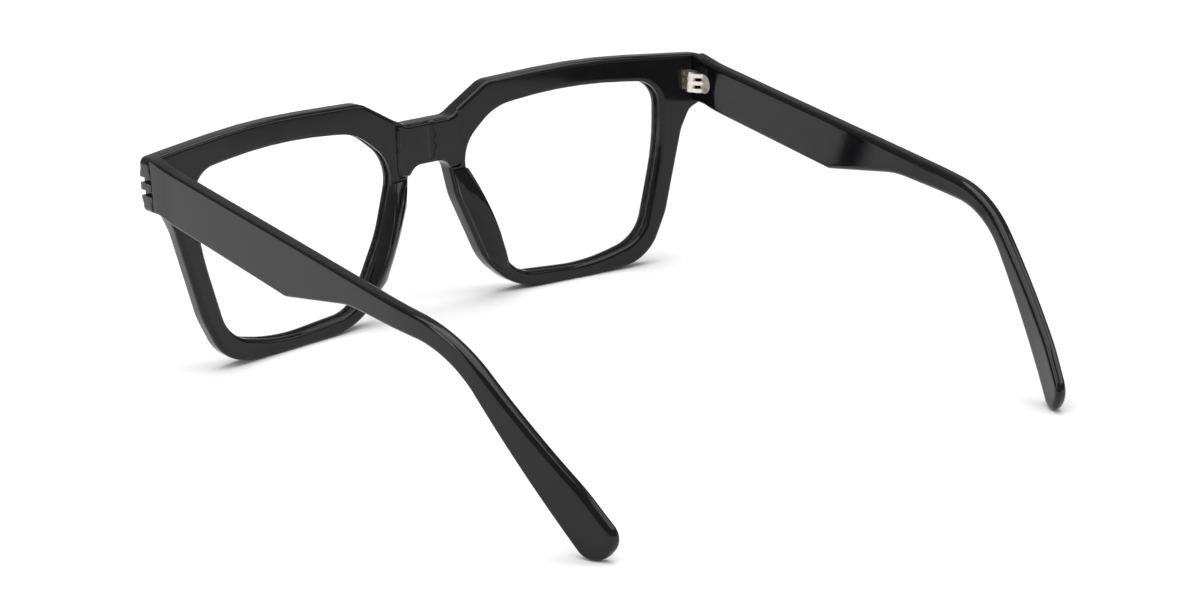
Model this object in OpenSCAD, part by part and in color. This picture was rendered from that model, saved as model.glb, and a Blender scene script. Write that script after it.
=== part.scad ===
// Full-rim acetate eyeglasses frame, open, resting on its rim bottoms and temple tips.
// +X is the wearer's left, the front faces -Y, +Z is up. Millimetres.

/* [Front] */
// Overall width of the front
frame_w = 141; // [138:1:144]
// Height of the front
frame_h = 49; // [48:0.5:50]
// Thickness of the front
front_t = 4.3; // [4:0.1:5]
// Radius of the front's horizontal sweep
front_r = 310; // [250:10:400]
// Forward lean of the front's top, degrees
front_lean = 2.8; // [1:0.1:4]
// Height of each bar groove in the end pieces
bar_groove_h = 1.15; // [0.8:0.05:1.3]
// Depth of each bar groove in the end pieces
bar_groove_d = 1; // [0.5:0.1:1.5]

/* [Lenses] */
// Width of one lens opening
lens_w = 50.6; // [50:0.1:52]
// Height of one lens opening
lens_h = 41.6; // [41:0.1:42]
// Thickness of a lens
lens_t = 1.6; // [1.2:0.1:2]
// Depth of the rim groove that holds the lens
lens_groove = 0.8; // [0.5:0.1:1]

/* [Nose pads] */
// How far a pad stands behind the rim
pad_h = 4.2; // [2:0.1:4.5]
// Width of the raised block on the bridge's rear
block_w = 16; // [12:0.5:17]
// How far the raised block stands behind the rim
block_h = 0.9; // [0.4:0.1:1.4]

/* [Temples] */
// Thickness of a temple
temple_t = 3; // [2.9:0.1:3.6]
// Thickness of a temple at its tip
tip_t = 2.7; // [2.4:0.1:3]
// Downward slope of a temple, degrees
temple_slope = 6.8; // [5:0.1:8]
// Inward slope of a temple, degrees
temple_splay = 1.8; // [0.5:0.1:2.5]
// Radius of the inward curl near the tip
curl_r = 108; // [100:2:150]
// Thickness of the metal core
core_t = 1; // [0.8:0.1:1]
// Height of the metal core
core_h = 2.4; // [1.6:0.1:2.6]

/* [Hinges] */
// Radius of the hinge knuckles
knuckle_r = 1.25; // [1.1:0.05:1.25]
// Height of the whole stack of five knuckles
knuckle_stack = 4.4; // [4.2:0.1:4.8]
// Radius of the hinge screw
screw_r = 0.6; // [0.5:0.05:0.7]
// Running clearance between the screw and the front's knuckles
screw_gap = 0.05; // [0.03:0.01:0.09]

/* [Hidden] */
$fn = 96;
arc_step = 6;                       // degrees between points of an outline's arcs
half_w = frame_w / 2;
mid_y = 69.7;                       // half the depth, so that the box is centred on the origin
front_y = 3;                        // bridge's front face, before centring
front_z = -0.15;                    // sets the leaning rims' lowest edge on z = 0
butt_gap = 0.1;                     // between a temple's end and the end piece

// Outer outline of the front, its +X half from the bridge's top round to its underside: x, z, corner radius
outline_half = [
    [6, frame_h - 7, 4], [16, frame_h - 0.9, 6], [42, frame_h + 0.2, 180],
    [half_w, frame_h - 2.1, 1.5], [half_w, frame_h - 12.7, 1.2], [half_w - 3.7, frame_h - 14.4, 3],
    [half_w - 5.5, 30.5, 12], [half_w - 10.3, 11.5, 18], [half_w - 15.2, 0.9, 10], [40, 0, 60],
    [21.5, 0.2, 16], [13.2, 7.9, 16], [6.6, 24, 16], [4.9, 32.8, 3.2]
];

// Lens opening about its own centre, as parts of its half width and half height, then corner radius
lens_corners = [
    [-0.66, 0.89, 13], [0.1, 1, 120], [1.01, 0.88, 6], [0.985, 0.16, 60],
    [0.78, -0.83, 9], [0.25, -1.01, 40], [-0.53, -0.94, 8], [-0.85, -0.22, 30], [-1.03, 0.5, 9]
];
lens_mid = [34.4, 23.5];

// Temple seen from the side: distance back, height, corner radius
temple_side = [
    [10, 47.35, 0], [108.1, 35.7, 28], [133, 12.2, 30], [139.5, 4.4, 3.9], [135, -1.95, 3.1],
    [107.5, 31.8, 20], [80, 33.9, 25], [59.3, 30.5, 2.5], [10, 36.9, 0]
];
core_line = [[10, 42], [58, 36], [84, 35.9], [107.8, 33.6], [128, 10.5]];

// Place of the left hinge's pin
temple_x = 70.8;                    // outer face of the temple at y = 0, before centring
curl_start = 90;
taper_start = 60;
tip_end = 138;
hinge_offset = 1.35;                // pin's axis inboard of the temple's inner face
hinge_y = 14.1;
hinge_z = 41.7;
hinge_x = temple_x - hinge_y * tan(temple_splay) - temple_t - hinge_offset;
knuckle_gap = 0.025;
front_knuckle = (knuckle_stack - 4 * knuckle_gap) / 5.75;
temple_knuckle = front_knuckle * 1.25;
plate_l = 6;                        // length of the temple half's plate
plate_front = 0.9;                  // how far the plate reaches ahead of the pin
plate_sunk = 0.8;
plate_proud = 0.25;
prong_l = 2.1;                      // length of the slots between the temple half's prongs
pad_gap = 0.5;                      // between the pads' tops and the bridge's raised block

function unit(v) = v / norm(v);
function turn(a, b) = (b - a + 540) % 360 - 180;

// Arc of radius r that rounds the corner b between a and c
function corner(a, b, c, r) =
    let (
        u = unit(a - b),
        v = unit(c - b),
        half = acos(max(-1, min(1, u * v))) / 2,
        mid = b + unit(u + v) * r / sin(half),
        p = b + u * r / tan(half) - mid,
        q = b + v * r / tan(half) - mid,
        start = atan2(p.y, p.x),
        sweep = turn(start, atan2(q.y, q.x)),
        steps = max(2, ceil(abs(sweep) / arc_step))
    )
    [for (i = [0:steps]) mid + r * [cos(start + sweep * i / steps), sin(start + sweep * i / steps)]];

// Closed outline from corners given as x, y, radius
function rounded(corners) =
    let (n = len(corners), xy = [for (c = corners) [c.x, c.y]])
    [for (i = [0:n - 1])
        each corners[i][2] == 0 ? [xy[i]]
            : corner(xy[(i + n - 1) % n], xy[i], xy[(i + 1) % n], corners[i][2])];

function mirrored(corners) = [for (i = [len(corners) - 1:-1:0]) [-corners[i].x, corners[i].y, corners[i][2]]];

// Corners of a lens outline grown by an amount all round
function lens_outline(grow) =
    [for (c = lens_corners)
        [lens_mid.x + c.x * (lens_w / 2 + grow), lens_mid.y + c.y * (lens_h / 2 + grow), c[2] + grow]];

// Outer face of the left temple, distance from the middle plane
function temple_out(y) =
    temple_x - y * tan(temple_splay) - pow(max(y - curl_start, 0), 2) / (2 * curl_r);

// Temple's thickness at a distance back, as a part of its full thickness
function thinning(y) = 1 - (1 - tip_t / temple_t) * max(0, y - taper_start) / (tip_end - taper_start);

// Front's rear face, in the front's own frame
function rear_y(x) = front_r - sqrt(front_r * front_r - x * x) + front_t;

module sides() {
    translate([0, -mid_y, 0])
        children();
}

module right_side() {
    mirror([1, 0, 0])
        children();
}

module front_frame() {
    translate([0, front_y, front_z])
        rotate([front_lean, 0, 0])
            children();
}

module hinge_frame() {
    translate([hinge_x, hinge_y, hinge_z])
        rotate([-temple_slope, 0, 0])
            children();
}

// Outline in x and z, extruded along y from y0 to y1
module plate_xz(corners, y0, y1) {
    rotate([90, 0, 0])
        translate([0, 0, -y1])
            linear_extrude(y1 - y0)
                polygon(rounded(corners));
}

// Everything behind a face that is swept like the front, y behind the front's own front face
module behind(y) {
    translate([0, front_r + y, -20])
        cylinder(r = front_r, h = 90, $fn = 360);
}

module swept_layer(y0, y1) {
    difference() {
        intersection() {
            children();
            behind(y0);
        }
        behind(y1);
    }
}

module bar_grooves() {
    for (top = [frame_h - 5.9, frame_h - 8.5], side = [-1, 1])
        translate([side * (half_w + 1 - bar_groove_d) - 1, -5, top - bar_groove_h])
            cube([2, 25, bar_groove_h]);
}

module lens_blank(grow) {
    swept_layer((front_t - lens_t) / 2, (front_t + lens_t) / 2)
        plate_xz(lens_outline(grow), -5, 20);
}

module outline_plate() {
    plate_xz(concat(outline_half, mirrored(outline_half)), -5, 20);
}

// Raised block across the rear of the bridge, from the brow down to just above the pads
module bridge_block() {
    swept_layer(front_t, front_t + block_h)
        intersection() {
            outline_plate();
            translate([-block_w / 2, -5, pad_top + pad_gap])
                cube([block_w, 25, frame_h]);
        }
}

module front() {
    color("#18181a")
        sides() difference() {
            front_frame() difference() {
                union() {
                    swept_layer(0, front_t)
                        outline_plate();
                    bridge_block();
                }
                for (m = [0, 1])
                    mirror([m, 0, 0]) {
                        plate_xz(lens_outline(0), -6, 21);
                        lens_blank(lens_groove);
                    }
                bar_grooves();
            }
            for (m = [0, 1])
                mirror([m, 0, 0])
                    hinge_frame()
                        front_plate();
        }
}

module lens() {
    color("#e8eef0", 0.3)
        sides() front_frame()
            lens_blank(lens_groove);
}

// Nose pad: a wedge on the rear of the rim's nasal side, highest along its lens side
pad_top = 30;
pad_low = 6;
pad_rows = 14;
pad_nose_side = [[pad_low, 16.4], [9.3, 13.2], [24.5, 7], [pad_top, 5.9]];
pad_lens_side = [[pad_low, 18.8], [13, 15.8], [19, 13.6], [pad_top, 9.6]];

function pad_ring(s) =
    let (
        z = pad_low + (pad_top - pad_low) * s,
        a = lookup(z, pad_nose_side),
        b = lookup(z, pad_lens_side),
        h = 0.3 + pad_h * pow(sin(180 * (0.04 + 0.92 * s)), 0.8),
        up = function (x, k) [x, rear_y(x) + h * k, z]
    )
    [
        [a, rear_y(a) - 1, z], up(a, 0.35), up(a + (b - a) * 0.3, 0.68), up(a + (b - a) * 0.6, 0.9),
        up(a + (b - a) * 0.85, 1), up(b, 0.9), [b, rear_y(b) - 1, z]
    ];

module pad_body() {
    rings = [for (i = [0:pad_rows]) pad_ring(i / pad_rows)];
    n = len(rings[0]);
    polyhedron(
        [for (ring = rings) each ring],
        concat(
            [[for (k = [0:n - 1]) k]],
            [for (i = [0:pad_rows - 1], k = [0:n - 1]) each let (l = (k + 1) % n) [
                [i * n + k, (i + 1) * n + k, (i + 1) * n + l],
                [i * n + k, (i + 1) * n + l, i * n + l]
            ]],
            [[for (k = [n - 1:-1:0]) pad_rows * n + k]]
        )
    );
}

module nose_pad() {
    color("#18181a")
        sides() front_frame() intersection() {
            pad_body();
            behind(front_t);
        }
}

// Slab that follows the temple seen from above, from one depth below its outer face to another
module temple_slab(d0, d1) {
    ys = concat([5, taper_start, curl_start], [for (y = [curl_start + 2.5:2.5:145]) y]);
    last = len(ys) - 1;
    translate([0, 0, -5])
        linear_extrude(60)
            polygon(concat(
                [for (y = ys) [temple_out(y) - d0 * thinning(y), y]],
                [for (i = [last:-1:0]) [temple_out(ys[i]) - d1 * thinning(ys[i]), ys[i]]]
            ));
}

// Outline in y and z, extruded along x across the whole left side
module plate_yz(points) {
    rotate([90, 0, 90])
        translate([0, 0, 30])
            linear_extrude(50)
                polygon(points);
}

module butt_end() {
    front_frame()
        behind(front_t + butt_gap);
}

// Band of the core's height about its centre line
function core_band() =
    let (
        n = len(core_line),
        side = [for (i = [0:n - 1])
            let (d = unit(core_line[min(i + 1, n - 1)] - core_line[max(i - 1, 0)]))
            [-d.y, d.x] * core_h / 2]
    )
    rounded(concat(
        [for (i = [0:n - 1]) [core_line[i].x + side[i].x, core_line[i].y + side[i].y, i == 3 ? 14 : 0]],
        [for (i = [n - 1:-1:0]) [core_line[i].x - side[i].x, core_line[i].y - side[i].y, i == 3 ? 12 : 0]]
    ));

module core_body() {
    intersection() {
        temple_slab((temple_t - core_t) / 2, (temple_t + core_t) / 2);
        plate_yz(core_band());
        butt_end();
    }
}

module temple() {
    color("#18181a")
        sides() difference() {
            intersection() {
                temple_slab(0, temple_t);
                plate_yz(rounded(temple_side));
                butt_end();
            }
            core_body();
            hinge_frame()
                temple_plate();
        }
}

module temple_core() {
    color("#9a9a98")
        sides() core_body();
}

// Bottom of a knuckle, counted from the lowest: the temple's are 0, 2 and 4, the front's 1 and 3
function knuckle_z(i) =
    let (under_temple = ceil(i / 2), under_front = floor(i / 2))
    -knuckle_stack / 2 + under_temple * temple_knuckle + under_front * front_knuckle + i * knuckle_gap;

// Front half, in the pin's frame: a plate sunk in the end piece and two knuckles
module front_plate() {
    translate([-1.1, -3.1, -knuckle_stack / 2])
        cube([1.1 + knuckle_r, 1.7, knuckle_stack]);
}

module hinge_front() {
    color("#c9c4b8")
        sides() hinge_frame() difference() {
            union() {
                front_plate();
                for (i = [1, 3])
                    translate([0, 0, knuckle_z(i)])
                        linear_extrude(front_knuckle) {
                            circle(knuckle_r);
                            polygon([[-knuckle_r, 0], [-1.1, -2], [knuckle_r, -2], [knuckle_r, 0]]);
                        }
            }
            cylinder(r = screw_r + screw_gap, h = 10, center = true);
        }
}

// Plate of the temple half, in the pin's frame: a D outline lying on the temple's inner face
module temple_plate() {
    round_end = knuckle_stack / 2;
    rotate([0, 90, 0])
        translate([0, 0, hinge_offset - plate_proud])
            linear_extrude(plate_sunk + plate_proud) {
                translate([-knuckle_stack / 2, -plate_front])
                    square([knuckle_stack, plate_l - round_end]);
                translate([0, plate_l - plate_front - round_end])
                    circle(round_end);
            }
}

module knuckle_slots() {
    for (i = [1, 3])
        translate([-4, -3, knuckle_z(i) - knuckle_gap])
            cube([8, 3 + prong_l, front_knuckle + 2 * knuckle_gap]);
}

module screw_body() {
    head_r = screw_r + 0.35;
    difference() {
        union() {
            translate([0, 0, -knuckle_stack / 2 - 0.1])
                cylinder(r = screw_r, h = knuckle_stack + 0.1);
            translate([0, 0, knuckle_stack / 2 - 0.45])
                cylinder(r = head_r, h = 0.6);
        }
        translate([-2, -0.12, knuckle_stack / 2 - 0.1])
            cube([4, 0.24, 1]);
    }
}

module hinge_temple() {
    color("#c9c4b8")
        sides() hinge_frame() difference() {
            union() {
                temple_plate();
                for (i = [0, 2, 4])
                    translate([0, 0, knuckle_z(i)])
                        linear_extrude(temple_knuckle) {
                            circle(knuckle_r);
                            polygon([
                                [0, -plate_front], [hinge_offset, -plate_front], [hinge_offset, prong_l + 0.6],
                                [0.2, prong_l], [-knuckle_r, 0.4], [-knuckle_r, 0]
                            ]);
                        }
            }
            knuckle_slots();
            cylinder(r = screw_r, h = 10, center = true);
            translate([0, 0, knuckle_stack / 2 - 0.45])
                cylinder(r = screw_r + 0.35, h = 1);
        }
}

module hinge_screw() {
    color("#b8b4aa")
        sides() hinge_frame()
            screw_body();
}

front();
nose_pad();  // nose_pad_left
right_side() nose_pad();  // nose_pad_right
lens();  // lens_left
right_side() lens();  // lens_right
temple();  // temple_left
right_side() temple();  // temple_right
temple_core();  // temple_core_left
right_side() temple_core();  // temple_core_right
hinge_front();  // hinge_front_left
right_side() hinge_front();  // hinge_front_right
hinge_temple();  // hinge_temple_left
right_side() hinge_temple();  // hinge_temple_right
hinge_screw();  // hinge_screw_left
right_side() hinge_screw();  // hinge_screw_right
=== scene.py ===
"""Eyeglasses in glossy black acetate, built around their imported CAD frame."""
import math

import bmesh
import bpy
import numpy as np
from mathutils import Matrix, Vector
from mathutils.geometry import delaunay_2d_cdt


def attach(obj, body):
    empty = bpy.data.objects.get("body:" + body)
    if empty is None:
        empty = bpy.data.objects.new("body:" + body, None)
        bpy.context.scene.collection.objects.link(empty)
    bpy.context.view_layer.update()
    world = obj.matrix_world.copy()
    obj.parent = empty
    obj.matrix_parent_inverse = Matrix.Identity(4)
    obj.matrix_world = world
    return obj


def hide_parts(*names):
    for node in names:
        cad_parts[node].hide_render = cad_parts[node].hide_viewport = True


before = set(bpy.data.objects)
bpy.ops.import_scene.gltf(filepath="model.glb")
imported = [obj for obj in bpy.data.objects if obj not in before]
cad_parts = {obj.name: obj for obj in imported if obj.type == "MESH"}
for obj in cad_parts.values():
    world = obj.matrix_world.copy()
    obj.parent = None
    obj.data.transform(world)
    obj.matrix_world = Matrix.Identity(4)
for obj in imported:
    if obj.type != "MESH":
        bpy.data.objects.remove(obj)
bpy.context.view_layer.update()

# Sizes of the object are in millimetres, as in the CAD source, and become metres when a mesh is made.
# The camera, the lights and the floor are in metres.
MM = 0.001
FRAME_W = 141
FRAME_H = 49
FRONT_T = 4.3
FRONT_R = 310
LEAN = math.radians(2.8)
MID_Y = 69.7
FRONT_Y = 3
FRONT_Z = -0.15
HALF_W = FRAME_W / 2

# Bars at the ends of the front: two grooves cut into each side edge
GROOVE_TOPS = (FRAME_H - 5.9, FRAME_H - 8.5)
GROOVE_H = 1.15
GROOVE_D = 1

# Stretch around the bars where the edge is nearly sharp: start and end of each blend
BARS_X = (68, 69.4)
BARS_LOW = (37.6, 38.8)
BARS_HIGH = (44.9, 43.7)

# Edge radii of the front, less at the bars and more on the rear of the low outer sides
OUTER_EDGE = 0.8
BARS_EDGE_CUT = 0.65
LOW_SIDE_EDGE_GAIN = 0.5
LOW_SIDE_X = (50, 56)
LOW_SIDE_Z = (34, 29)
OPENING_EDGE_FRONT = 0.7
OPENING_EDGE_REAR = 0.85
OUTER_WALL = (0.35, 0.5, 0.65)

# Raised block on the bridge's rear
BLOCK_HALF_W = 8
BLOCK_LOW = 30.5
BLOCK_H = 0.9
BLOCK_SIDE_RAMP = 0.35
BLOCK_LOW_RAMP = 0.8
CREASE_HALF_W = 0.35
CREASE_D = 0.15

# Mesh edges that follow the crease and the block's sides: distances from the middle, span in height
BLOCK_LINES = (0.35, 7.6, 8.05)
BLOCK_LINE_SPAN = (27, 50)

# Outer outline of the front, its +X half from the bridge's top round to its underside: x, z, radius
GROOVE_CORNERS = [
    corner
    for top in GROOVE_TOPS
    for corner in (
        (HALF_W, top, 0), (HALF_W - GROOVE_D, top, 0),
        (HALF_W - GROOVE_D, top - GROOVE_H, 0), (HALF_W, top - GROOVE_H, 0))
]
OUTLINE_HALF = [
    (6, FRAME_H - 7, 4), (16, FRAME_H - 0.9, 6), (42, FRAME_H + 0.2, 180),
    (HALF_W, FRAME_H - 2.1, 1.5), *GROOVE_CORNERS,
    (HALF_W, FRAME_H - 12.7, 1.2), (HALF_W - 3.7, FRAME_H - 14.4, 3),
    (HALF_W - 5.5, 30.5, 12), (HALF_W - 10.3, 11.5, 18), (HALF_W - 15.2, 0.9, 10), (40, 0, 60),
    (21.5, 0.2, 16), (13.2, 7.9, 16), (6.6, 24, 16), (4.9, 32.8, 3.2),
]

# Lens opening about its own centre, as parts of its half width and half height, then radius
LENS_HALF = (25.3, 20.8)
LENS_MID = (34.4, 23.5)
LENS_T = 1.6
LENS_GROOVE = 0.8
GROOVE_DEPTH_PLAY = 0.05
GROOVE_SIDE_PLAY = 0.003
GROOVE_STAGGER = 0.02
OPENING_WALL_START = 0.25
LENS_CORNERS = [
    (-0.66, 0.89, 13), (0.1, 1, 120), (1.01, 0.88, 6), (0.985, 0.16, 60),
    (0.78, -0.83, 9), (0.25, -1.01, 40), (-0.53, -0.94, 8), (-0.85, -0.22, 30), (-1.03, 0.5, 9),
]

# Nose pads: lines up the nose side and the lens side of each wedge, as height and x
PAD_H = 4.2
PAD_LOW = 6
PAD_TOP = 30
PAD_NOSE_SIDE = [(PAD_LOW, 16.4), (9.3, 13.2), (24.5, 7), (PAD_TOP, 5.9)]
PAD_LENS_SIDE = [(PAD_LOW, 18.8), (13, 15.8), (19, 13.6), (PAD_TOP, 9.6)]
PAD_SIDE_INSET = 0.1
PAD_LEAST_H = 0.1
PAD_SINK = 1
PAD_ARC = (0.03, 0.94)
PAD_ARC_POWER = 0.8
PAD_ROWS = 56
PAD_COLUMNS = 18

# A pad across, from its nose side to its lens side: parts of its width, then parts of its height
PAD_ACROSS = (0, 0.08, 0.3, 0.6, 0.85, 0.95, 1)
PAD_RISE = (0.3, 0.42, 0.68, 0.9, 1.0, 0.97, 0.86)

# Temple seen from the side: distance back, height, radius
TEMPLE_START = 10
TEMPLE_SIDE = [
    (TEMPLE_START, 47.35, 0), (108.1, 35.7, 28), (133, 12.2, 30), (139.5, 4.4, 3.9),
    (135, -1.95, 3.1), (107.5, 31.8, 20), (80, 33.9, 25), (59.3, 30.5, 2.5), (TEMPLE_START, 36.9, 0),
]
TEMPLE_X = 70.8
TEMPLE_SPLAY = math.radians(1.8)
TEMPLE_T = 3
TIP_T = 2.7
TAPER_START = 60
TIP_END = 138
CURL_START = 90
CURL_R = 108
TAPER_OVERRUN = 1.02
TEMPLE_WALL = (0.35, 0.5)

# Butt end of a temple, which follows the front's rear face
BUTT_GAP = 0.1
BUTT_REACH = 12
BUTT_BLEND = 4

# Edge radii of a temple: at the butt, then what the outer and inner edges and the tip add
BUTT_EDGE = 0.2
OUTSIDE_EDGE_GAIN = 0.25
INSIDE_EDGE_GAIN = 0.75
TIP_EDGE_GAIN = 0.35
TIP_EDGE_LEAD = 8

# Mesh fineness
ARC_STEP = 3
SPACING = 0.7
GRID = 1.5
ROW_RATIO = 0.87
GRID_MARGIN = 0.5
LINE_STEP = 0.5
LINE_GAP = 1.5
LINE_MARGIN = 0.15
LEAST_LENGTH = 1e-6
LEAST_AREA = 0.001
MITRE_LIMIT = 0.6
CDT_TOLERANCE = 1e-7
SUPPORT = 0.2
EDGE_MARGIN = 0.1
ROUND_STEPS = 6
SHARP_ANGLE = math.radians(38)

ACETATE_IOR = 1.37
WORLD_STRENGTH = 0.36

# Camera: azimuth 0 looks along +Y
CAMERA_TARGET = (-0.00403, -0.01024, 0.01436)
CAMERA_AZIMUTH = math.radians(142.308)
CAMERA_ELEVATION = math.radians(18.154)
CAMERA_DISTANCE = 0.5241
CAMERA_ROLL = math.radians(-0.918)
CAMERA_LENS = 78
SENSOR_W = 36
CLIP_START = 0.01

FLOOR_HALF = 3.0
FLOOR_CELLS = 12


# ---- outlines ----

def corner_arc(a, b, c, radius):
    """Points of the arc that rounds the corner b between a and c."""
    u = (a - b) / np.linalg.norm(a - b)
    v = (c - b) / np.linalg.norm(c - b)
    half = math.acos(max(-1, min(1, float(u @ v)))) / 2
    bisector = (u + v) / np.linalg.norm(u + v)
    middle = b + bisector * radius / math.sin(half)
    first = b + u * radius / math.tan(half) - middle
    last = b + v * radius / math.tan(half) - middle
    start = math.atan2(first[1], first[0])
    sweep = (math.atan2(last[1], last[0]) - start + 3 * math.pi) % (2 * math.pi) - math.pi
    steps = max(2, math.ceil(abs(math.degrees(sweep)) / ARC_STEP))
    angles = start + sweep * np.arange(steps + 1) / steps
    return [middle + radius * np.array((math.cos(t), math.sin(t))) for t in angles]


def rounded(corners):
    """Closed outline from corners given as x, y, radius, with no stretch longer than SPACING."""
    places = [np.array(corner[:2], float) for corner in corners]
    count = len(corners)
    points = []
    for i, corner in enumerate(corners):
        if corner[2] == 0:
            points.append(places[i])
        else:
            points += corner_arc(places[i - 1], places[i], places[(i + 1) % count], corner[2])
    dense = []
    for i, point in enumerate(points):
        following = points[(i + 1) % len(points)]
        length = np.linalg.norm(following - point)
        parts = max(1, math.ceil(length / SPACING))
        if length > LEAST_LENGTH:
            dense += [point + (following - point) * k / parts for k in range(parts)]
    return np.array(dense)


def mirrored(corners):
    return [(-x, z, radius) for x, z, radius in reversed(corners)]


def mirrored_loop(loop):
    return (loop * (-1, 1))[::-1]


def signed_area(loop):
    following = np.roll(loop, -1, axis=0)
    return 0.5 * float(np.sum(loop[:, 0] * following[:, 1] - following[:, 0] * loop[:, 1]))


def inward(loop, hole):
    """Mitred unit offsets that point into the material from each point of an outline."""
    edges = np.roll(loop, -1, axis=0) - loop
    edges /= np.linalg.norm(edges, axis=1)[:, None]
    normals = np.stack((-edges[:, 1], edges[:, 0]), axis=1)
    if (signed_area(loop) < 0) != hole:
        normals = -normals
    before = np.roll(normals, 1, axis=0)
    middle = normals + before
    middle /= np.linalg.norm(middle, axis=1)[:, None]
    return middle / np.maximum(MITRE_LIMIT, np.sum(middle * normals, axis=1))[:, None]


def inside(points, loop):
    """Which of the points lie within a closed outline."""
    following = np.roll(loop, -1, axis=0)
    result = np.zeros(len(points), bool)
    for (x0, y0), (x1, y1) in zip(loop, following):
        if y0 == y1:
            continue
        crosses = (points[:, 1] < y0) != (points[:, 1] < y1)
        result ^= crosses & (points[:, 0] < (x1 - x0) * (points[:, 1] - y0) / (y1 - y0) + x0)
    return result


def clearance(points, loops):
    """Distance from each point to the nearest outline point."""
    every = np.concatenate(loops)
    return np.array([np.min(np.hypot(*(every - point).T)) for point in points])


def edge_radius(loop, others, radius):
    """Edge radius at each outline point, less where the material between two outlines is narrow."""
    return np.minimum(radius, clearance(loop, others) / 2 - SUPPORT - EDGE_MARGIN)


def smoothstep(low, high, value):
    t = np.clip((value - low) / (high - low), 0, 1)
    return t * t * (3 - 2 * t)


# ---- slabs with rounded edges ----

def rounding(radius):
    """Inset and depth of the rings over a quarter-round edge, from the face down to the wall."""
    rings = [(radius + SUPPORT, 0 * radius)]
    for i in range(ROUND_STEPS + 1):
        turn = math.pi / 2 * i / ROUND_STEPS
        rings.append((radius * (1 - math.sin(turn)), radius * (1 - math.cos(turn))))
    return rings


def cap_faces(loops, lines):
    """Triangles that fill the first outline less the others, with the points added inside it."""
    low, high = loops[0].min(0), loops[0].max(0)
    xs = np.arange(low[0], high[0], GRID)
    ys = np.arange(low[1], high[1], GRID * ROW_RATIO)
    grid = np.array([(x + GRID / 2 * (row % 2), y) for row, y in enumerate(ys) for x in xs])

    def filled(points):
        keep = inside(points, loops[0])
        for hole in loops[1:]:
            keep &= ~inside(points, hole)
        return keep

    grid = grid[filled(grid)]
    grid = grid[clearance(grid, loops + lines) > GRID * GRID_MARGIN]
    lines = [line[filled(line)] for line in lines]
    lines = [line[clearance(line, loops) > LINE_MARGIN] for line in lines]
    points = np.concatenate(loops + lines + [grid])
    edges = []
    start = 0
    for loop in loops:
        edges += [(start + i, start + (i + 1) % len(loop)) for i in range(len(loop))]
        start += len(loop)
    for line in lines:
        gaps = np.hypot(*np.diff(line, axis=0).T)
        edges += [(start + i, start + i + 1) for i in np.flatnonzero(gaps < LINE_STEP * LINE_GAP).tolist()]
        start += len(line)
    result = delaunay_2d_cdt([Vector(p) for p in points], edges, [], 0, CDT_TOLERANCE)
    origin = [sources[0] if sources else None for sources in result[3]]
    if None in origin:
        raise ValueError("an outline crosses itself where its edge is rounded")
    faces = np.array([[origin[i] for i in face] for face in result[2]])
    corners = points[faces]
    first, second = corners[:, 1] - corners[:, 0], corners[:, 2] - corners[:, 0]
    area = abs(first[:, 0] * second[:, 1] - first[:, 1] * second[:, 0]) / 2
    keep = filled(corners.mean(axis=1)) & (area > LEAST_AREA)
    boundary = sum(len(loop) for loop in loops)
    return points[boundary:], faces[keep]


def outline_rings(outline, thickness):
    """Rings of one outline, from the front face to the rear face, each as flat places and depth."""
    loop = outline["loop"]
    normal = inward(loop, outline["hole"])
    rings = []
    for inset, depth in rounding(outline["front"]):
        rings.append((loop + normal * inset[:, None], depth))
    for inset, part in outline["wall"]:
        flat = loop + normal * inset
        rings.append((flat, thickness(flat) * part))
    for inset, depth in reversed(rounding(outline["rear"])):
        flat = loop + normal * inset[:, None]
        rings.append((flat, thickness(flat) - depth))
    return rings


def strip_faces(base, rings, count):
    """Quads that join closed rings of points, which follow each other from point number base."""
    return [(base + k * count + i, base + k * count + (i + 1) % count,
             base + (k + 1) * count + (i + 1) % count, base + (k + 1) * count + i)
            for k in range(rings - 1) for i in range(count)]


def slab(name, outlines, place, thickness, lines=()):
    """Plate between two faces.

    Each outline has a loop, whether it is a hole, its front and rear edge radii, and its wall rings as
    inset and part of the thickness. The lines become mesh edges on the rear face.
    """
    points, faces, first_rings, last_rings = [], [], [], []
    base = 0
    for outline in outlines:
        rings = outline_rings(outline, thickness)
        count = len(outline["loop"])
        points += [place(flat, depth) for flat, depth in rings]
        faces += strip_faces(base, len(rings), count)
        first_rings.append((base, rings[0][0]))
        last_rings.append((base + (len(rings) - 1) * count, rings[-1][0]))
        base += len(rings) * count
    for rings, rear in ((first_rings, False), (last_rings, True)):
        loops = [flat for _, flat in rings]
        extra, triangles = cap_faces(loops, list(lines) if rear else [])
        points.append(place(extra, thickness(extra) * rear))
        numbers = np.concatenate([start + np.arange(len(flat)) for start, flat in rings]
                                 + [base + np.arange(len(extra))])
        faces += [tuple(numbers[triangle].tolist()) for triangle in triangles]
        base += len(extra)
    return make_mesh(name, np.concatenate(points), faces)


def make_mesh(name, points, faces):
    """Object from points in millimetres, with its faces turned outward and its true corners kept sharp."""
    mesh = bpy.data.meshes.new(name)
    mesh.from_pydata((points * MM).tolist(), [], faces)
    shape = bmesh.new()
    shape.from_mesh(mesh)
    bmesh.ops.recalc_face_normals(shape, faces=shape.faces)
    for face in shape.faces:
        face.smooth = True
    for edge in shape.edges:
        edge.smooth = not (edge.is_manifold and edge.calc_face_angle() > SHARP_ANGLE)
    shape.to_mesh(mesh)
    shape.free()
    piece = bpy.data.objects.new(name, mesh)
    bpy.context.scene.collection.objects.link(piece)
    return piece


# ---- front ----

def front_place(flat, depth):
    """Point of the swept, leaning front at an outline place and a depth behind its front face."""
    x, z = flat[:, 0], flat[:, 1]
    y = FRONT_R - np.sqrt(FRONT_R ** 2 - x ** 2) + depth
    return np.stack((
        x,
        y * math.cos(LEAN) - z * math.sin(LEAN) + FRONT_Y - MID_Y,
        y * math.sin(LEAN) + z * math.cos(LEAN) + FRONT_Z), axis=1)


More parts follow.
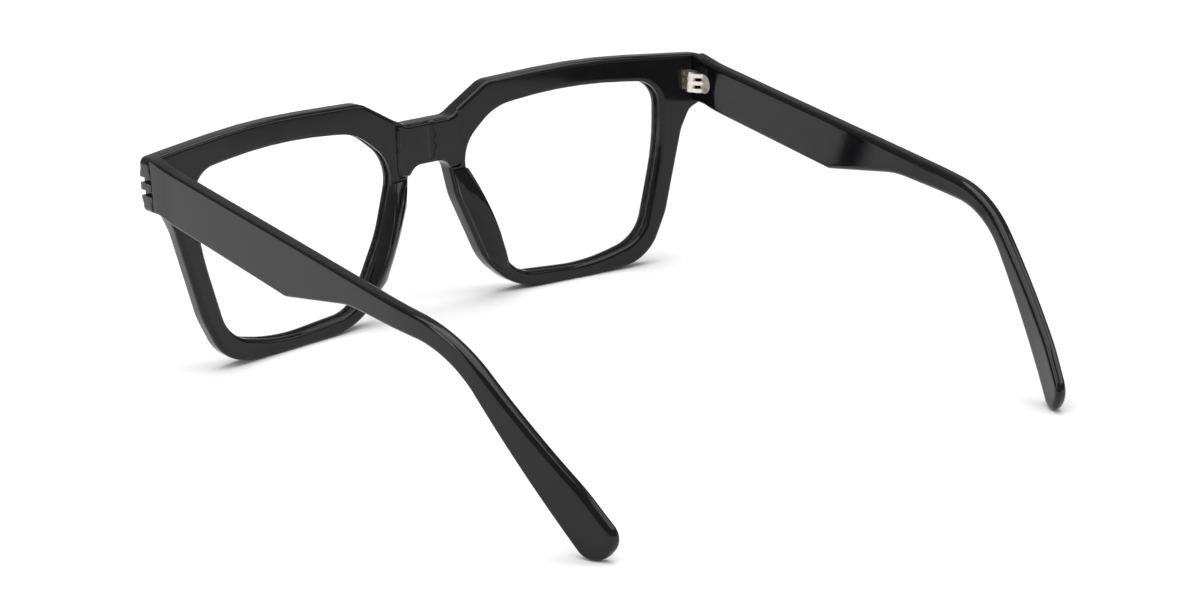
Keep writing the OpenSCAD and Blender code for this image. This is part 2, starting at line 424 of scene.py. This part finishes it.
def front_thickness(flat):
    """Rim thickness, with the bridge's raised block and the fine crease down its middle."""
    x, z = np.abs(flat[:, 0]), flat[:, 1]
    sides = smoothstep(BLOCK_HALF_W, BLOCK_HALF_W - BLOCK_SIDE_RAMP, x)
    block = sides * smoothstep(BLOCK_LOW, BLOCK_LOW + BLOCK_LOW_RAMP, z)
    crease = CREASE_D * smoothstep(CREASE_HALF_W, 0, x) * (z > BLOCK_LOW)
    return FRONT_T + BLOCK_H * block - crease


def front_piece():
    outer = rounded(OUTLINE_HALF + mirrored(OUTLINE_HALF))
    opening = rounded([
        (LENS_MID[0] + cx * LENS_HALF[0], LENS_MID[1] + cz * LENS_HALF[1], radius)
        for cx, cz, radius in LENS_CORNERS])
    openings = [opening, mirrored_loop(opening)]
    groove_front = (FRONT_T - LENS_T) / 2 / FRONT_T - GROOVE_SIDE_PLAY
    groove_rear = 1 - groove_front
    groove_floor = LENS_GROOVE + GROOVE_DEPTH_PLAY
    groove_wall = [
        (0, OPENING_WALL_START), (0, groove_front), (LENS_GROOVE / 2 - GROOVE_STAGGER, groove_front),
        (groove_floor, groove_front), (groove_floor, groove_rear),
        (LENS_GROOVE / 2, groove_rear), (0, groove_rear)]
    x, z = np.abs(outer[:, 0]), outer[:, 1]
    near_bars = smoothstep(*BARS_X, x) * smoothstep(*BARS_LOW, z) * smoothstep(*BARS_HIGH, z)
    low_sides = smoothstep(*LOW_SIDE_X, x) * smoothstep(*LOW_SIDE_Z, z)
    edge = edge_radius(outer, openings, OUTER_EDGE - BARS_EDGE_CUT * near_bars)
    outlines = [{"loop": outer, "hole": False,
                 "front": edge, "rear": edge + LOW_SIDE_EDGE_GAIN * low_sides,
                 "wall": [(0, part) for part in OUTER_WALL]}]
    for loop in openings:
        outlines.append({"loop": loop, "hole": True,
                         "front": edge_radius(loop, [outer], OPENING_EDGE_FRONT),
                         "rear": edge_radius(loop, [outer], OPENING_EDGE_REAR), "wall": groove_wall})
    heights = np.arange(*BLOCK_LINE_SPAN, LINE_STEP)
    lines_x = [-line_x for line_x in reversed(BLOCK_LINES)] + [0.0, *BLOCK_LINES]
    lines = [np.stack((np.full(len(heights), line_x), heights), axis=1) for line_x in lines_x]
    return slab("front_shell", outlines, front_place, front_thickness, lines)


# ---- nose pads ----

def nose_pad(name, side):
    """Wedge on the rim's nasal side, steep on its lens side, that runs out at both ends."""
    nose = np.array(PAD_NOSE_SIDE)
    lens = np.array(PAD_LENS_SIDE)
    across = 0.5 - 0.5 * np.cos(np.pi * np.arange(PAD_COLUMNS + 1) / PAD_COLUMNS)
    rise = np.interp(across, PAD_ACROSS, PAD_RISE)
    foot = (FRONT_T - PAD_SINK,)
    points = []
    for row in range(PAD_ROWS + 1):
        s = row / PAD_ROWS
        z = PAD_LOW + (PAD_TOP - PAD_LOW) * s
        a = np.interp(z, nose[:, 0], nose[:, 1]) + PAD_SIDE_INSET
        b = np.interp(z, lens[:, 0], lens[:, 1]) - PAD_SIDE_INSET
        arc = math.sin(math.pi * (PAD_ARC[0] + PAD_ARC[1] * s)) ** PAD_ARC_POWER
        height = PAD_LEAST_H + (PAD_H - PAD_LEAST_H) * arc
        x = np.concatenate(((a,), a + (b - a) * across, (b,)))
        depth = np.concatenate((foot, FRONT_T + height * rise, foot))
        points.append(front_place(np.stack((x * side, np.full(len(x), z)), axis=1), depth))
    count = PAD_COLUMNS + 3
    faces = strip_faces(0, PAD_ROWS + 1, count)
    faces += [tuple(range(count)), tuple(range(PAD_ROWS * count, (PAD_ROWS + 1) * count))]
    return make_mesh(name, np.concatenate(points), faces)


# ---- temples ----

def temple_out(y):
    """Outer face of a temple, distance from the middle plane."""
    return TEMPLE_X - y * math.tan(TEMPLE_SPLAY) - np.maximum(y - CURL_START, 0) ** 2 / (2 * CURL_R)


def temple_thickness(flat):
    back = np.clip((flat[:, 0] - TAPER_START) / (TIP_END - TAPER_START), 0, TAPER_OVERRUN)
    return TEMPLE_T - (TEMPLE_T - TIP_T) * back


def rear_face_y(x, z):
    """How far back the front's rear face is at a place on it."""
    y = FRONT_R - np.sqrt(FRONT_R ** 2 - x ** 2) + FRONT_T
    up = (z - FRONT_Z - y * math.sin(LEAN)) / math.cos(LEAN)
    return y * math.cos(LEAN) - up * math.sin(LEAN) + FRONT_Y


def temple_piece(name, side):
    loop = rounded(TEMPLE_SIDE)
    y = loop[:, 0]
    from_butt = np.clip((y - TEMPLE_START) / BUTT_BLEND, 0, 1)
    toward_tip = smoothstep(TAPER_START, TIP_END - TIP_EDGE_LEAD, y)
    outer_edge = BUTT_EDGE + (OUTSIDE_EDGE_GAIN + TIP_EDGE_GAIN * toward_tip) * from_butt
    inner_edge = BUTT_EDGE + (INSIDE_EDGE_GAIN + TIP_EDGE_GAIN * toward_tip) * from_butt

    def place(flat, depth):
        x = temple_out(flat[:, 0]) - depth
        shift = rear_face_y(x, flat[:, 1]) + BUTT_GAP - TEMPLE_START
        y = flat[:, 0] + shift * smoothstep(TEMPLE_START + BUTT_REACH, TEMPLE_START, flat[:, 0])
        return np.stack((side * x, y - MID_Y, flat[:, 1]), axis=1)

    outline = {"loop": loop, "hole": False, "front": outer_edge, "rear": inner_edge,
               "wall": [(0, part) for part in TEMPLE_WALL]}
    return slab(name, [outline], place, temple_thickness)


# ---- materials ----

def new_material(name):
    material = bpy.data.materials.new(name)
    material.use_nodes = True
    nodes = material.node_tree.nodes
    return material, nodes, material.node_tree.links, nodes["Principled BSDF"]


def noise(nodes, links, scale, detail=3.0, stretch=(1, 1, 1)):
    """Noise in the object's own space, stretched along its axes."""
    place = nodes.new("ShaderNodeTexCoord")
    mapping = nodes.new("ShaderNodeMapping")
    mapping.inputs["Scale"].default_value = stretch
    texture = nodes.new("ShaderNodeTexNoise")
    texture.inputs["Scale"].default_value = scale
    texture.inputs["Detail"].default_value = detail
    links.new(place.outputs["Object"], mapping.inputs["Vector"])
    links.new(mapping.outputs["Vector"], texture.inputs["Vector"])
    return texture.outputs["Fac"]


def ramp(nodes, links, source, low, high):
    """Turns a noise value into a range."""
    spread = nodes.new("ShaderNodeMapRange")
    spread.inputs["From Min"].default_value = 0.3
    spread.inputs["From Max"].default_value = 0.7
    spread.inputs["To Min"].default_value = low
    spread.inputs["To Max"].default_value = high
    links.new(source, spread.inputs["Value"])
    return spread.outputs["Result"]


def tint(nodes, links, source, dark, light):
    mix = nodes.new("ShaderNodeMix")
    mix.data_type = "RGBA"
    mix.inputs["A"].default_value = (*dark, 1)
    mix.inputs["B"].default_value = (*light, 1)
    links.new(source, mix.inputs["Factor"])
    return mix.outputs["Result"]


def bump(nodes, links, source, strength, distance):
    node = nodes.new("ShaderNodeBump")
    node.inputs["Strength"].default_value = strength
    node.inputs["Distance"].default_value = distance
    links.new(source, node.inputs["Height"])
    return node.outputs["Normal"]


def acetate():
    """Polished black acetate: faint cloudiness, uneven polish and a very shallow tumbled surface."""
    material, nodes, links, shader = new_material("black_acetate")
    cloud = noise(nodes, links, scale=60)
    colour = tint(nodes, links, cloud, dark=(0.0016, 0.0016, 0.002), light=(0.0038, 0.0037, 0.0045))
    links.new(colour, shader.inputs["Base Color"])
    polish = ramp(nodes, links, noise(nodes, links, scale=190, detail=4), low=0.07, high=0.13)
    links.new(polish, shader.inputs["Roughness"])
    tumbled = bump(nodes, links, noise(nodes, links, scale=900, detail=2), strength=0.05, distance=0.00004)
    links.new(tumbled, shader.inputs["Normal"])
    shader.inputs["IOR"].default_value = ACETATE_IOR
    return material


def brushed_metal(name, dark, light, stretch):
    """Plated hinge metal with fine brushing."""
    material, nodes, links, shader = new_material(name)
    grain = noise(nodes, links, scale=2200, stretch=stretch)
    links.new(tint(nodes, links, grain, dark, light), shader.inputs["Base Color"])
    links.new(ramp(nodes, links, grain, low=0.24, high=0.4), shader.inputs["Roughness"])
    links.new(bump(nodes, links, grain, strength=0.15, distance=0.00003), shader.inputs["Normal"])
    shader.inputs["Metallic"].default_value = 1
    return material


def clear_lens():
    """Clear lens, seen only by a faint sheen that grows toward grazing angles."""
    material, nodes, links, shader = new_material("clear_lens")
    weight = nodes.new("ShaderNodeLayerWeight")
    weight.inputs["Blend"].default_value = 0.25
    sheen = ramp(nodes, links, weight.outputs["Fresnel"], low=0.015, high=0.06)
    links.new(sheen, shader.inputs["Alpha"])
    cloud = noise(nodes, links, scale=25)
    colour = tint(nodes, links, cloud, dark=(0.9, 0.93, 0.95), light=(0.95, 0.95, 0.97))
    links.new(colour, shader.inputs["Base Color"])
    shader.inputs["Roughness"].default_value = 0.04
    return material


def coat(piece, material):
    piece.data.materials.clear()
    piece.data.materials.append(material)


# ---- object ----

def build_object():
    black = acetate()
    metal = brushed_metal("hinge_plating", (0.62, 0.58, 0.52), (0.8, 0.76, 0.7), (1, 0.08, 1))
    steel = brushed_metal("screw_steel", (0.5, 0.5, 0.5), (0.72, 0.72, 0.72), (1, 1, 0.1))
    lens = clear_lens()
    pieces = [(front_piece(), "front_frame", "front", "acetate")]
    for side, word in ((1, "left"), (-1, "right")):
        pieces.append((nose_pad(f"pad_{word}", side), "front_frame", f"nose_pad_{word}", "nose_pad"))
        pieces.append((temple_piece(f"temple_{word}_shell", side), f"{word}_temple",
                       f"temple_{word}", "acetate"))
    for piece, body, node, slot in pieces:
        coat(piece, black)
        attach(piece, body)
        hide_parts(node)
    for name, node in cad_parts.items():
        if name.startswith("lens"):
            coat(node, lens)
        elif name.startswith("hinge_screw"):
            coat(node, steel)
        elif name.startswith(("hinge", "temple_core")):
            coat(node, metal)
        else:
            coat(node, black)


# ---- stage ----

def floor():
    """Plain pale floor, wide enough to pass for endless."""
    steps = [FLOOR_HALF * (2 * i / FLOOR_CELLS - 1) for i in range(FLOOR_CELLS + 1)]
    points = [(x, y, 0) for y in steps for x in steps]
    row = FLOOR_CELLS + 1
    faces = [(r * row + c, r * row + c + 1, (r + 1) * row + c + 1, (r + 1) * row + c)
             for r in range(FLOOR_CELLS) for c in range(FLOOR_CELLS)]
    mesh = bpy.data.meshes.new("floor")
    mesh.from_pydata(points, [], faces)
    piece = bpy.data.objects.new("floor", mesh)
    bpy.context.scene.collection.objects.link(piece)
    material, nodes, links, shader = new_material("pale_floor")
    cloud = noise(nodes, links, scale=8)
    colour = tint(nodes, links, cloud, dark=(0.93, 0.93, 0.93), light=(0.95, 0.95, 0.95))
    links.new(colour, shader.inputs["Base Color"])
    shader.inputs["Roughness"].default_value = 0.9
    coat(piece, material)


def area_light(name, place, toward, size, power):
    data = bpy.data.lights.new(name, "AREA")
    data.shape = "RECTANGLE"
    data.size, data.size_y = size
    data.energy = power
    light = bpy.data.objects.new(name, data)
    light.location = place
    light.rotation_euler = (Vector(toward) - Vector(place)).to_track_quat("-Z", "Y").to_euler()
    bpy.context.scene.collection.objects.link(light)


def lights():
    world = bpy.data.worlds.new("studio")
    world.use_nodes = True
    world.node_tree.nodes["Background"].inputs["Color"].default_value = (1, 1, 1, 1)
    world.node_tree.nodes["Background"].inputs["Strength"].default_value = WORLD_STRENGTH
    bpy.context.scene.world = world
    area_light("overhead", place=(0, 0, 0.9), toward=(0, 0, 0), size=(1.1, 1.1), power=10)
    area_light("key", place=(0.75, -0.1, 0.45), toward=(0, 0, 0.02), size=(0.3, 0.7), power=2.2)
    area_light("fill", place=(-0.6, 0.5, 0.5), toward=(0, 0, 0.02), size=(0.5, 0.3), power=1)


def camera():
    """Camera behind the wearer's left shoulder, a little above the frame."""
    away = Vector((
        math.sin(CAMERA_AZIMUTH) * math.cos(CAMERA_ELEVATION),
        -math.cos(CAMERA_AZIMUTH) * math.cos(CAMERA_ELEVATION),
        math.sin(CAMERA_ELEVATION)))
    right = (-away).cross(Vector((0, 0, 1))).normalized()
    up = right.cross(-away)
    tilted_right = right * math.cos(CAMERA_ROLL) + up * math.sin(CAMERA_ROLL)
    tilted_up = up * math.cos(CAMERA_ROLL) - right * math.sin(CAMERA_ROLL)
    data = bpy.data.cameras.new("camera")
    data.lens = CAMERA_LENS
    data.sensor_width = SENSOR_W
    data.clip_start = CLIP_START
    view = bpy.data.objects.new("camera", data)
    turn = Matrix((tilted_right, tilted_up, away)).transposed().to_4x4()
    view.matrix_world = Matrix.Translation(Vector(CAMERA_TARGET) + away * CAMERA_DISTANCE) @ turn
    bpy.context.scene.collection.objects.link(view)
    bpy.context.scene.camera = view


camera()
build_object()
floor()
lights()
bpy.context.scene.view_settings.view_transform = "Standard"
